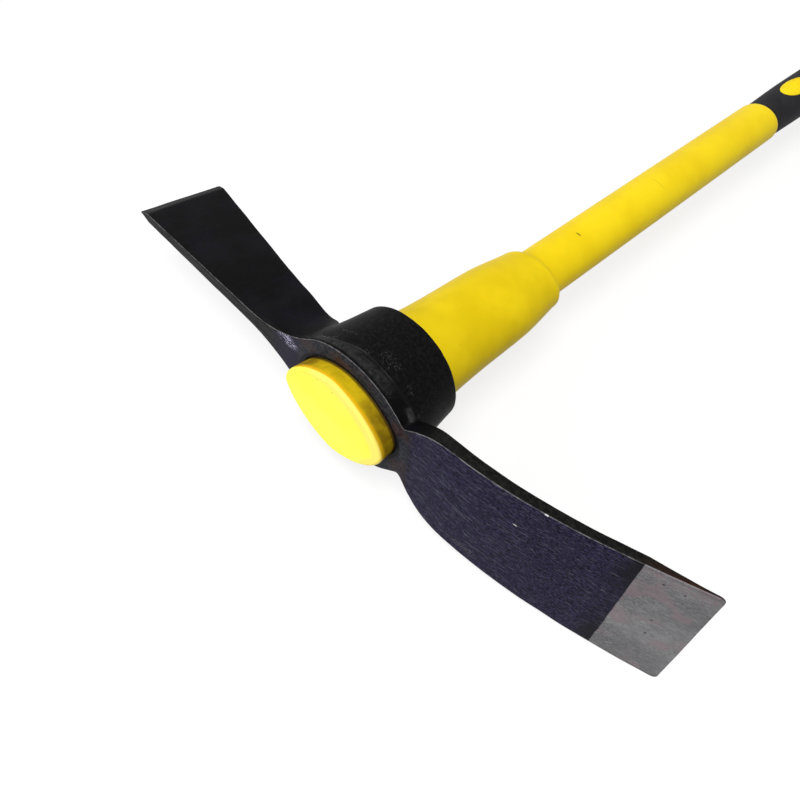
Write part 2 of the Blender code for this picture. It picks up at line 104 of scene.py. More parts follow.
def fullTurn(count):
    return np.linspace(0.0, math.tau, count, endpoint=False)


def quarterTurn(count):
    return np.linspace(0.0, math.pi / 2.0, count)


def stacked(*columns):
    # one array whose last axis holds the columns, spread to a common shape
    return np.stack(np.broadcast_arrays(*columns), axis=-1)


def waves(points, size, seed, octaves=3):
    # soft irregular bumps between about -1 and 1: a sum of sines along random directions
    rng = np.random.default_rng(seed)
    total = np.zeros(len(points))
    for octave in range(octaves):
        for _ in range(5):
            direction = rng.normal(size=3)
            direction *= math.tau / (size * 0.55**octave) / np.linalg.norm(direction)
            total += np.sin(points @ direction + rng.uniform(0, math.tau)) * 0.6**octave
    return total / 5.0


# mesh helpers

def gridMesh(name, rings):
    # rings: array (ring, point, xyz); neighbouring rings are joined by quads and the ends are closed flat
    ringCount, pointCount = rings.shape[:2]
    start = np.arange(ringCount * pointCount).reshape(ringCount, pointCount)
    after = np.roll(start, -1, axis=1)
    quads = np.stack([start[:-1], after[:-1], after[1:], start[1:]], axis=-1).reshape(-1, 4)
    faces = quads.tolist() + [start[0].tolist(), start[-1][::-1].tolist()]
    mesh = bpy.data.meshes.new(name)
    mesh.from_pydata(rings.reshape(-1, 3).tolist(), [], faces)
    return outward(mesh)


def outward(mesh):
    work = bmesh.new()
    work.from_mesh(mesh)
    bmesh.ops.recalc_face_normals(work, faces=work.faces)
    work.to_mesh(mesh)
    work.free()
    return mesh


def joinInto(mesh, others):
    # adds the other meshes to this one and deletes them
    work = bmesh.new()
    for source in (mesh, *others):
        work.from_mesh(source)
    work.to_mesh(mesh)
    work.free()
    for other in others:
        bpy.data.meshes.remove(other)
    return mesh


def addObject(name, data):
    obj = bpy.data.objects.new(name, data)
    bpy.context.scene.collection.objects.link(obj)
    return obj


def carved(name, body, *steps, merge=2e-6):
    # each step is an operation and the mesh that it joins to the body or cuts from it
    obj = addObject(name, body)
    tools = [addObject(tool.name, tool) for _, tool in steps]
    for (operation, _), tool in zip(steps, tools):
        modifier = obj.modifiers.new(operation.lower(), "BOOLEAN")
        modifier.operation, modifier.solver, modifier.object = operation, "EXACT", tool
    mesh = bpy.data.meshes.new_from_object(obj.evaluated_get(bpy.context.evaluated_depsgraph_get()))
    obj.modifiers.clear()
    obj.data = mesh
    for tool in tools:
        bpy.data.objects.remove(tool, do_unlink=True)
    work = bmesh.new()
    work.from_mesh(mesh)
    bmesh.ops.remove_doubles(work, verts=work.verts, dist=merge)
    bmesh.ops.dissolve_degenerate(work, edges=work.edges, dist=merge)
    work.to_mesh(mesh)
    work.free()
    return obj


def getVectors(items, name="co"):
    flat = np.empty(len(items) * 3)
    items.foreach_get(name, flat)
    return flat.reshape(-1, 3)


def setPoints(mesh, points):
    mesh.vertices.foreach_set("co", points.ravel())
    mesh.update()


def relax(mesh, weights, rounds):
    # each point moves towards the mean of its neighbours by its weight, which rounds a hollow corner
    edges = np.empty(len(mesh.edges) * 2, int)
    mesh.edges.foreach_get("vertices", edges)
    a, b = edges.reshape(-1, 2).T
    points = getVectors(mesh.vertices)
    count = np.maximum(np.bincount(edges, minlength=len(points)), 1)[:, None]
    for _ in range(rounds):
        total = np.zeros_like(points)
        for axis in range(3):
            total[:, axis] = (np.bincount(a, points[b, axis], len(points))
                              + np.bincount(b, points[a, axis], len(points)))
        points += (total / count - points) * weights[:, None]
    setPoints(mesh, points)


def addValue(mesh, name, values):
    layer = mesh.attributes.new(name, "FLOAT", "POINT")
    layer.data.foreach_set("value", np.asarray(values, np.float32))


def shade(mesh, sharpAbove=32.0):
    mesh.shade_smooth()
    mesh.set_sharp_from_angle(angle=math.radians(sharpAbove))


# The forged head. Its own coordinates start in the plane of the eye's front rim.

head = {
    "rimPlane": 0.0112,          # how far the rim lies behind the handle's end face
    "eyeDepth": 0.043,
    "eyeFront": (0.0426, 0.0347),
    "eyeRear": (0.0354, 0.0343),
    "eyeRearFullness": 2.06,
    "eyeRearLowFullness": 1.72,  # the same in the quarter below the adze
    "bandDepth": 0.0092,
    "bandStep": (0.0016, 0.001),
    "collarEdge": 0.0015,
    "collarLean": (0.0009, 0.6),     # over the eye's depth, and the share of that depth where it is nil
    "collarPoint": (0.0475, 1.75, 0.022),    # reach, pointedness and depth of its point towards the axe
    "boreFront": (0.0344, 0.0247),
    "boreRear": (0.0293, 0.0244),
    "borePointedness": 1.8,
    "boreChamfer": 0.0006,
    # the socket's wall, which stays smooth: depth inside the collar, place behind the rim and half width
    "smoothWall": (0.004, -0.0005, 0.036),
    "edgeRadius": 0.0011,
    "sectionSteps": (34, 26, 4),     # across the front, along each side and round each corner
    "weldBlend": 0.0021,         # reach of the soft fillet between collar and blades
    "weldFrom": (0.002, 0.006),  # where it fades in behind the front face
    "weldShare": 0.7, "weldRounds": 14,
    "forgingWaves": 0.00012, "waveLength": 0.028,
    # a small ridge beside the adze: both ends, its reach and its rise
    "knuckle": ((0.0343, 0.0073, 0.0218), (0.0375, 0.0064, 0.019), 0.0021, 0.0014),
    "adzeReach": 0.1878,
    "adzeEdgeWidth": 0.0816,
    "adzeShoulderWidth": 0.065,
    "adzeShoulder": (0.032, 0.072),
    "adzeNeckFillet": 0.005,
    "adzeDip": 0.002,
    "adzeSweep": 0.0203,
    "adzeSweepCurve": 1.63,
    "adzeThickness": (0.01, 0.007, 0.0052, 0.0012),
    "adzeGroundLength": 0.031,
    "adzeCornerRadius": 0.003,
    "adzeWanderRise": 0.01,      # both edges start to wander over this length, and then as listed
    "adzeEdgeReaches": (0.04, 0.047, 0.056, 0.066, 0.08, 0.105, 0.13, 0.15, 0.172, 0.1878),
    "adzeLowerWander": (0.0016, 0.0038, 0.0043, 0.0034, 0.0027, 0.0028, 0.0019, 0.0013, 0.0007, 0.0),
    "adzeUpperWander": (0.0, 0.0, 0.0005, 0.0005, 0.0002, -0.0005, -0.0006, -0.0002, 0.0, 0.0),
    "axeReach": 0.1933,
    "depthReaches": (0.0, 0.025, 0.036, 0.045, 0.1, 0.1933),
    "depths": (0.0092, 0.005, 0.0271, 0.0304, 0.0386, 0.0532),   # front to back, from eye to axe edge
    "axeSetback": 0.0082,
    "axeThickness": (0.0096, 0.007, 0.001),
    "axeBevelLength": 0.0075,
    "axeEdgeSkew": 0.008,
    "axeBackCorner": 0.0016,
    "axeCheek": (0.03, 0.084),
    # where the rings lie closest, and how many steps each span along the bar has
    "fineSpan": (-0.052, 0.076),
    "spanSteps": (6, 51, 29, 149, 55, 19),
    "cheekFall": 0.006,          # the cheeks fall this far behind their front edge
    "cheekFallDepth": (0.0007, 0.0042),
    "cheekFallFade": (0.045, 0.076),
    "cheekFallRise": 0.0042,     # and sets in over this length beside the eye
}


def eyeOval(x):
    return head["eyeFront"][1] * np.sqrt(np.maximum(0.0, 1.0 - (x / head["eyeFront"][0]) ** 2))


def adzeHalfWidth(x):
    # a straight taper, closed towards the eye by a quarter oval and towards the edge by a round corner
    start, end = head["adzeShoulder"]
    reach, corner = head["adzeReach"], head["adzeCornerRadius"]
    half = lerp(head["adzeShoulderWidth"], head["adzeEdgeWidth"], (x - end) / (reach - end)) / 2.0
    half = half * np.sqrt(np.maximum(0.0, 1.0 - np.maximum(0.0, (end - x) / (end - start)) ** 2))
    past = np.maximum(0.0, x - (reach - corner))
    return half - (corner - np.sqrt(np.maximum(0.0, corner**2 - past**2)))


def adzeFront(x):
    # the plate dips forward of the eye, then sweeps back along a power curve
    start, end = head["adzeShoulder"]
    dip = head["adzeDip"] * smoothStep(start, end, x)
    swept = np.maximum(0.0, x - end) / (head["adzeReach"] - end)
    return (head["adzeSweep"] + head["adzeDip"]) * swept ** head["adzeSweepCurve"] - dip


def adzeThickness(x):
    neck, shoulder, plate, edge = head["adzeThickness"]
    ground = head["adzeReach"] - head["adzeGroundLength"]
    body = cubicThrough((*head["adzeShoulder"], ground), (neck, shoulder, plate), x)
    share = np.clip((x - ground) / head["adzeGroundLength"], 0.0, 1.0)
    return np.where(x > ground, lerp(plate, edge, share), body)


def axeHalfThickness(reach):
    # the cheeks leave the eye's oval at its own slope, settle into flats and end in a bevel
    root, tip, edge = head["axeThickness"]
    start, end = head["axeCheek"]
    bevel = head["axeReach"] - head["axeBevelLength"]
    share = start / head["eyeFront"][0]
    slope = -share * head["eyeFront"][1] / head["eyeFront"][0] / math.sqrt(1.0 - share**2)
    cheek = hermite(np.clip((reach - start) / (end - start), 0, 1), eyeOval(start), root / 2.0,
                    slope * (end - start), 0.0)
    flat = lerp(root, tip, np.clip((reach - end) / (bevel - end), 0, 1)) / 2.0
    ground = lerp(tip, edge, np.clip((reach - bevel) / head["axeBevelLength"], 0, 1)) / 2.0
    return np.where(reach < end, cheek, np.where(reach < bevel, flat, ground))


def barOutline(x):
    # half thickness, front, back, lean and cheek fall of the bar at each x, from the axe's edge to the adze's
    reach, neck, tip = -x, head["axeCheek"][0], head["axeReach"]
    axeShare = np.clip((reach - neck) / (tip - neck), 0, 1)
    isAxe, isAdze = reach > neck, x > head["adzeShoulder"][0]
    width = adzeHalfWidth(x)
    nearEye = x < head["eyeFront"][0] + head["adzeNeckFillet"]
    adzeHalf = np.where(nearEye, smoothMax(eyeOval(x), width, head["adzeNeckFillet"]), width)
    half = np.where(isAxe, axeHalfThickness(reach), np.where(isAdze, adzeHalf, eyeOval(x)))
    past = np.clip(reach - tip + head["axeBackCorner"], 0.0, head["axeBackCorner"])
    nipped = head["axeBackCorner"] - np.sqrt(head["axeBackCorner"] ** 2 - past**2)
    axeDepth = cubicThrough(head["depthReaches"], head["depths"], reach) - nipped
    depth = np.where(isAdze, adzeThickness(x), axeDepth)
    front = head["axeSetback"] * axeShare + np.where(isAdze, adzeFront(x), 0.0)
    rise = smoothStep(neck, neck + head["cheekFallRise"], reach)
    fall = (1.0 - smoothStep(*head["cheekFallFade"], reach)) * rise
    return half, front, front + depth, head["axeEdgeSkew"] * axeShare, head["cheekFall"] * fall


def sideHalf(half, fall, behind):
    # the half thickness at a depth behind the front: it falls by the cheek's fall within a few millimetres
    return half - fall * smoothStep(*head["cheekFallDepth"], behind)


def wandered(x, z):
    # the adze's long edges leave their straight lines by a millimetre or two, as forged ones do
    start = head["adzeShoulder"][0]
    share = smoothStep(start, start + head["adzeWanderRise"], x)
    lower = cubicThrough(head["adzeEdgeReaches"], head["adzeLowerWander"], x)
    upper = cubicThrough(head["adzeEdgeReaches"], head["adzeUpperWander"], x)
    half = np.maximum(barOutline(x)[0], 0.001)
    place = np.clip(z / half, -1.2, 1.2)
    return z + share * np.where(place > 0.0, upper * place, lower * place)


def roundedSection(acrossSteps, sideSteps, cornerSteps, crowding=1.7):
    # a unit rounded rectangle: multipliers of the straight half sides and of the corner radius,
    # with the points of the two sides crowded towards the front
    straight, radial = [], []
    corners = ((1, 1, 0.0), (-1, 1, 0.25), (-1, -1, 0.5), (1, -1, 0.75))
    for k, (z, y, turn) in enumerate(corners):
        angles = math.tau * (turn + 0.25 * np.linspace(0, 1, cornerSteps + 1))
        straight += [(z, y)] * len(angles)
        radial += list(zip(np.cos(angles), np.sin(angles)))
        nextZ, nextY, _ = corners[(k + 1) % 4]
        steps = acrossSteps if y == nextY else sideSteps
        for share in np.linspace(0, 1, steps + 1)[1:-1]:
            if y != nextY:
                share = share**crowding if y < nextY else 1.0 - (1.0 - share) ** crowding
            straight.append((lerp(z, nextZ, share), lerp(y, nextY, share)))
            radial.append(radial[len(straight) - 2])
    return np.array(straight, float), np.array(radial)


def barStations():
    # the places of the rings along X, with round corners at both edges walked by angle
    nip, bevel = (head["axeReach"] - head[key] for key in ("axeBackCorner", "axeBevelLength"))
    ground, corner = (head["adzeReach"] - head[key] for key in ("adzeGroundLength", "adzeCornerRadius"))
    places = (-nip, -bevel, -head["axeCheek"][1], *head["fineSpan"], ground, corner)
    spans = [np.linspace(*span, endpoint=False) for span in zip(places, places[1:], head["spanSteps"])]
    return np.concatenate([-nip - head["axeBackCorner"] * np.sin(quarterTurn(7)[:0:-1]), *spans,
                           corner + head["adzeCornerRadius"] * np.sin(quarterTurn(9))])


def barMesh():
    # the rounded section carried along X; each ring leans along X and its sides fall behind the front
    x = barStations()
    half, front, back, lean, fall = (column[:, None] for column in barOutline(x))
    radius = np.minimum(head["edgeRadius"], 0.45 * np.minimum(2.0 * half, back - front))
    straight, radial = roundedSection(*head["sectionSteps"])
    middle, depth = (front + back) / 2.0, (back - front) / 2.0
    y = middle + straight[:, 1] * (depth - radius) + radial[:, 1] * radius
    z = straight[:, 0] * (sideHalf(half, fall, y - front) - radius) + radial[:, 0] * radius
    along = x[:, None] + lean * ((y - front) / (2.0 * depth) - 0.5)
    z = wandered(np.broadcast_to(x[:, None], z.shape), z)
    return gridMesh("bar", stacked(along, y, z))


def collarSizes(y):
    # half sizes towards the adze, towards the axe and up, and both fullnesses: a straight cone to the rear
    # rim, whose axe side is drawn out to a point in front
    reach, pointedness, fadeDepth = head["collarPoint"]
    frontX, frontZ = (size - step for size, step in zip(head["eyeFront"], head["bandStep"]))
    share = (y - head["bandDepth"]) / (head["eyeDepth"] - head["collarEdge"] - head["bandDepth"])
    share = np.clip(share, 0.0, 1.0)
    halfX, fullness = lerp(frontX, head["eyeRear"][0], share), lerp(2.0, head["eyeRearFullness"], share)
    point = 1.0 - smoothStep(0.0, fadeDepth, y)
    return (halfX, lerp(halfX, reach, point), lerp(frontZ, head["eyeRear"][1], share),
            fullness, lerp(fullness, pointedness, point))


def collarShift(y):
    lean, middle = head["collarLean"]
    return lean * (y / head["eyeDepth"] - middle)


def collarMesh(points=240, rows=45):
    angles, turns, edge = fullTurn(points), quarterTurn(7), head["collarEdge"]
    y = np.concatenate([np.linspace(head["edgeRadius"], head["eyeDepth"] - edge, rows, endpoint=False),
                        head["eyeDepth"] - edge + edge * np.sin(turns)])[:, None]
    inset = np.concatenate([np.zeros(rows), edge * (1.0 - np.cos(turns))])[:, None]
    adzeX, axeX, halfZ, adzeFull, axeFull = collarSizes(y)
    lowFull = lerp(2.0, head["eyeRearLowFullness"], np.clip(y / head["eyeDepth"], 0.0, 1.0))
    plainFull = np.where(np.sin(angles) < 0.0, lowFull, adzeFull)
    plainX, plainZ = superOval(angles, adzeX - inset, halfZ - inset, plainFull)
    drawnX, drawnZ = superOval(angles, axeX - inset, halfZ - inset, axeFull)
    x, z = np.where(drawnX < 0.0, drawnX, plainX), np.where(drawnX < 0.0, drawnZ, plainZ)
    return gridMesh("collar", stacked(x + collarShift(y), y, z))


def boreMesh(points=224, extra=0.006):
    # the tapered socket, wider in front, with a small chamfer at both mouths
    chamfer, depth = head["boreChamfer"], head["eyeDepth"]
    y = np.array([-extra, 0.0, chamfer, depth - chamfer, depth, depth + extra])[:, None]
    share = np.array([0.0, 0.0, 0.0, 1.0, 1.0, 1.0])[:, None]
    grow = np.array([chamfer, chamfer, 0.0, 0.0, chamfer, chamfer])[:, None]
    halfX, halfZ = (lerp(*sizes, share) + grow for sizes in zip(head["boreFront"], head["boreRear"]))
    x, z = superOval(fullTurn(points), halfX, halfZ, lerp(head["borePointedness"], 2.0, share))
    return gridMesh("bore", stacked(x, y, z))


def fromSegment(points, start, end):
    # distance of each point from the straight line between two ends
    start, along = np.array(start), np.subtract(end, start)
    share = np.clip((points - start) @ along / (along @ along), 0.0, 1.0)
    return np.linalg.norm(points - start - share[:, None] * along, axis=1)


def headDistances(points, lineInset=0.0003):
    # distances in metres: behind the front face, from its edge, from the collar's skin, from the bar's skin
    # and from the line where these two meet
    x, y, z = points.T
    _, front, back, lean, _ = barOutline(x)
    share = np.clip((y - front) / (back - front), 0.0, 1.0)
    half, front, back, _, fall = barOutline(x - lean * (share - 0.5))
    wander = np.abs(wandered(x, np.sign(z) * half)) - half
    side = sideHalf(half, fall, y - front) + wander
    adzeX, axeX, halfZ, adzeFull, axeFull = collarSizes(y)
    across = x - collarShift(y)
    halfX, full = np.where(across < 0.0, axeX, adzeX), np.where(across < 0.0, axeFull, adzeFull)
    oval = (np.abs(across) / halfX) ** full + (np.abs(z) / halfZ) ** full
    fromCollar = (oval ** (1.0 / full) - 1.0) * np.minimum(halfX, halfZ)
    fromBar = np.maximum(y - back, np.abs(z) - side)
    edge = np.hypot(y - front - lineInset, np.abs(z) - half - wander + lineInset)
    return y - front, edge, fromCollar, fromBar, np.hypot(fromCollar, fromBar)


def buildHead():
    bar = carved("forgedHead", barMesh(), ("UNION", collarMesh()), ("DIFFERENCE", boreMesh()))
    mesh = bar.data
    behind, _, _, _, weld = headDistances(getVectors(mesh.vertices))
    weights = head["weldShare"] * np.exp(-(weld / head["weldBlend"]) ** 2)
    relax(mesh, weights * smoothStep(*head["weldFrom"], behind), head["weldRounds"])
    points = getVectors(mesh.vertices)
    behind, edge, fromCollar, fromBar, _ = headDistances(points)
    inside, behindRim, halfWidth = head["smoothWall"]
    onWall = (fromCollar < -inside) & (points[:, 1] > behindRim) & (np.abs(points[:, 0]) < halfWidth)
    first, last, reach, rise = head["knuckle"]
    ridge = np.exp(-((fromSegment(points, first, last) / reach) ** 2))
    bumps = waves(points, head["waveLength"], 5) * head["forgingWaves"] + rise * ridge
    bumps[onWall] = 0.0
    power, halves = head["borePointedness"], np.array(head["boreFront"])
    oval = np.sum((np.abs(points[:, (0, 2)]) / halves) ** power, axis=1)
    for name, values in (("behindFront", behind), ("edgeDistance", edge), ("collarOutside", fromBar),
                         ("knuckle", ridge), ("boreDistance", (oval ** (1.0 / power) - 1.0) * halves[1])):
        addValue(mesh, name, values)
    normals = getVectors(mesh.vertex_normals, "vector")
    setPoints(mesh, points + normals * bumps[:, None] + np.array([0.0, head["rimPlane"], 0.0]))
    shade(mesh)
    return bar


# The yellow jacket: cap, boss, shaft and the oval pads that show through the grip's windows.

jacket = {
    "length": 0.8917,
    "capFace": (0.0355, 0.0263),
    "capPointedness": 1.62,
    "capEdge": 0.0019,
    "capRoot": (0.0112, 0.0341, 0.0244),     # place and half sizes where the cap enters the eye
    "eyePointedness": 1.8,
    "bossStart": 0.0542,
    "bossPlaces": (0.0, 0.035, 0.07, 0.101),
    "bossX": (0.029, 0.0272, 0.0264, 0.0228),
    "bossZ": (0.0241, 0.0215, 0.0198, 0.0165),
    "shoulder": 0.006,
    "shoulderPower": 0.72,       # below 1 its corner is fuller than a round one
    "shaftX": (0.0173, 0.017),
    "shaftZ": (0.0138, 0.0145),
    "endRound": 0.0045,
    "seatX": 0.0134, "seatZ": 0.0102,
}
grip = {
    "start": 0.4462,
    "end": 0.9,
    "startX": 0.0159, "startZ": 0.0127,
    "gripX": 0.0172, "gripZ": 0.0139,
    "swell": 0.06,
    "pommelX": 0.021, "pommelZ": 0.0175,
    "pommelLength": 0.045,
    "pommelRound": 0.007,
    "lip": (0.0006, 0.0012),     # inset and length of its rounded front edge
    "clearance": 0.0003,
    "buttWall": 0.008,
    "windows": 5,
    "windowLength": 0.04, "windowWidth": 0.0175,
    "firstWindow": 0.051, "lastWindow": 0.085,
    "padRise": 0.0004,
    "padRim": (0.93, 0.0007, 0.003),    # where a pad's round rim starts, its fall and its reach to the seat
    "padRidges": 0.00022, "padRidgeSpacing": 0.0024, "padRidgeBend": 18.0,
}


def gripPlaces():
    # the sleeve's front edge, its swell's end, its flare's start and the start of the pommel's round
    return (grip["start"], grip["start"] + grip["swell"], grip["end"] - grip["pommelLength"],
            grip["end"] - grip["pommelRound"])


def gripSize(y):
    # the sleeve swells behind its front edge, runs level and flares into the pommel
    return [cubicThrough(gripPlaces(), [grip[name + axis] for name in ("start", "grip", "grip", "pommel")], y)
            for axis in "XZ"]


def windowCentres():
    return np.linspace(grip["start"] + grip["firstWindow"], grip["end"] - grip["lastWindow"], grip["windows"])


def jacketProfile(crisp=0.0006):
    # rows of (y, half x, half z, exponent) from the face's middle to the jacket's closed end; the rings at
    # the distance "crisp" from the eye's corners keep them sharp
    faceX, faceZ = jacket["capFace"]
    edge, sharp, eyeSharp = jacket["capEdge"], jacket["capPointedness"], jacket["eyePointedness"]
    rows = []

    def add(y, halfX, halfZ, exponent=2.0):
        rows.append(stacked(y, halfX, halfZ, exponent).reshape(-1, 4))

    share, turn = np.linspace(0.02, 0.97, 14), quarterTurn(10)
    add(0.0, (faceX - edge) * share, (faceZ - edge) * share, sharp)
    inset = edge * (1.0 - np.sin(turn))
    add(edge * (1.0 - np.cos(turn)), faceX - inset, faceZ - inset, sharp)
    rootY, rootX, rootZ = jacket["capRoot"]
    share = np.linspace(0.0, 1.0, 9)[1:]
    add(lerp(edge, rootY, share), lerp(faceX, rootX, share), lerp(faceZ, rootZ, share),
        lerp(sharp, eyeSharp, share))
    add(rootY + crisp, rootX, rootZ, eyeSharp)

    # the boss behind the eye, and its shoulder as a quarter turn with its own power
    start, along = jacket["bossStart"], np.linspace(0.0, jacket["bossPlaces"][-1], 60)
    add(start - crisp, jacket["bossX"][0], jacket["bossZ"][0])
    sizes = (cubicThrough(jacket["bossPlaces"], jacket[key], along) for key in ("bossX", "bossZ"))
    add(start + along, *sizes)
    (shaftX, endX), (shaftZ, endZ) = jacket["shaftX"], jacket["shaftZ"]
    fall, rise = (wave(quarterTurn(18)[1:]) ** jacket["shoulderPower"] for wave in (np.cos, np.sin))
    bossEnd = start + along[-1]
    add(bossEnd + jacket["shoulder"] * rise, lerp(shaftX, jacket["bossX"][-1], fall),
        lerp(shaftZ, jacket["bossZ"][-1], fall))

    # the shaft, its round end and the seat under the grip
    roundStart, share = grip["start"] - jacket["endRound"], np.linspace(0.0, 1.0, 80)[1:]
    add(lerp(bossEnd + jacket["shoulder"], roundStart, share), lerp(shaftX, endX, share),
        lerp(shaftZ, endZ, share))
    fall, rise = np.cos(turn[1:]), np.sin(turn[1:])
    add(roundStart + jacket["endRound"] * rise, lerp(grip["startX"], endX, fall),
        lerp(grip["startZ"], endZ, fall))
    add((grip["start"] + 0.0001, jacket["length"]), jacket["seatX"], jacket["seatZ"])
    return np.concatenate(rows)


def jacketMesh(points=144):
    y, halfX, halfZ, exponent = (column[:, None] for column in jacketProfile().T)
    x, z = superOval(fullTurn(points), halfX, halfZ, exponent)
    return gridMesh("jacket", stacked(x, y, z))


def padMesh(centre, side, rows=40, rimRows=8, columns=72):
    # an oval button on the grip's own curve: polar grid, with fine ridges across it and a rounded rim
    rimStart, rimFall, rimReach = grip["padRim"]
    share = np.concatenate([np.linspace(0.001, rimStart, rows - rimRows),
                            np.sin(np.linspace(1.22, math.pi / 2, rimRows)), [1.0]])[:, None]
    halfWidth, halfLength = (grip[key] / 2.0 - grip["clearance"] for key in ("windowWidth", "windowLength"))
    x = share * np.cos(fullTurn(columns)) * halfWidth
    along = share * np.sin(fullTurn(columns)) * halfLength
    sizeX, sizeZ = gripSize(centre + along)
    bent = (along + grip["padRidgeBend"] * x**2) / grip["padRidgeSpacing"]
    lift = grip["padRise"] - rimFall * np.clip((share - rimStart) / (1.0 - rimStart), 0.0, 1.0) ** 2
    lift = lift + grip["padRidges"] * np.sin(math.tau * bent) * np.clip((0.9 - share) / 0.08, 0.0, 1.0)
    z = (sizeZ + lift) * np.sqrt(1.0 - (x / (sizeX + lift)) ** 2)
    z[-1] -= rimReach
    return gridMesh("pad", stacked(x, centre + along, side * z))


def buildJacket():
    pads = [padMesh(centre, side) for centre in windowCentres() for side in (1.0, -1.0)]
    body = addObject("yellowJacket", joinInto(jacketMesh(), pads))
    shade(body.data)
    return body


def gripMesh(points=160):
    # the sleeve's outside and pommel, one closed body that the hollow and the windows are cut from
    start, swellEnd, flareStart, straightEnd = gripPlaces()
    y = np.concatenate([np.linspace(start + grip["clearance"], swellEnd, 33, endpoint=False),
                        np.linspace(swellEnd, flareStart, 189, endpoint=False),
                        np.linspace(flareStart, straightEnd, 26)])
    halfX, halfZ = gripSize(y)
    inset, length = grip["lip"]
    lip = inset * (1.0 - np.sqrt(np.clip((y - y[0]) / length, 0.0, 1.0)))
    turns = quarterTurn(12)[1:]
    inset = grip["pommelRound"] * (1.0 - np.cos(turns))
    y = np.concatenate([y, straightEnd + grip["pommelRound"] * np.sin(turns)])
    halfX = np.concatenate([halfX - lip, grip["pommelX"] - inset])
    halfZ = np.concatenate([halfZ - lip, grip["pommelZ"] - inset])
    x, z = superOval(fullTurn(points), halfX[:, None], halfZ[:, None], 2.0)
    return gridMesh("sleeve", stacked(x, y[:, None], z))


def gripHollow(points=96, past=0.004):
    y = np.array([grip["start"] - past, grip["end"] - grip["buttWall"]])[:, None]
    halves = (jacket[key] + grip["clearance"] for key in ("seatX", "seatZ"))
    x, z = superOval(fullTurn(points), *halves, 2.0)
    return gridMesh("hollow", stacked(x, y, z))


def windowColumns(points=96, reach=0.03):
    angles, z = fullTurn(points), np.array([-reach, reach])[:, None]
    x, along = np.cos(angles) * grip["windowWidth"] / 2.0, np.sin(angles) * grip["windowLength"] / 2.0
    columns = [gridMesh("column", stacked(x, centre + along, z)) for centre in windowCentres()]
    return joinInto(bpy.data.meshes.new("columns"), columns)


def buildGrip():
    sleeve = carved("rubberGrip", gripMesh(), ("DIFFERENCE", gripHollow()), ("DIFFERENCE", windowColumns()))
    shade(sleeve.data)
    return sleeve


# shader helpers

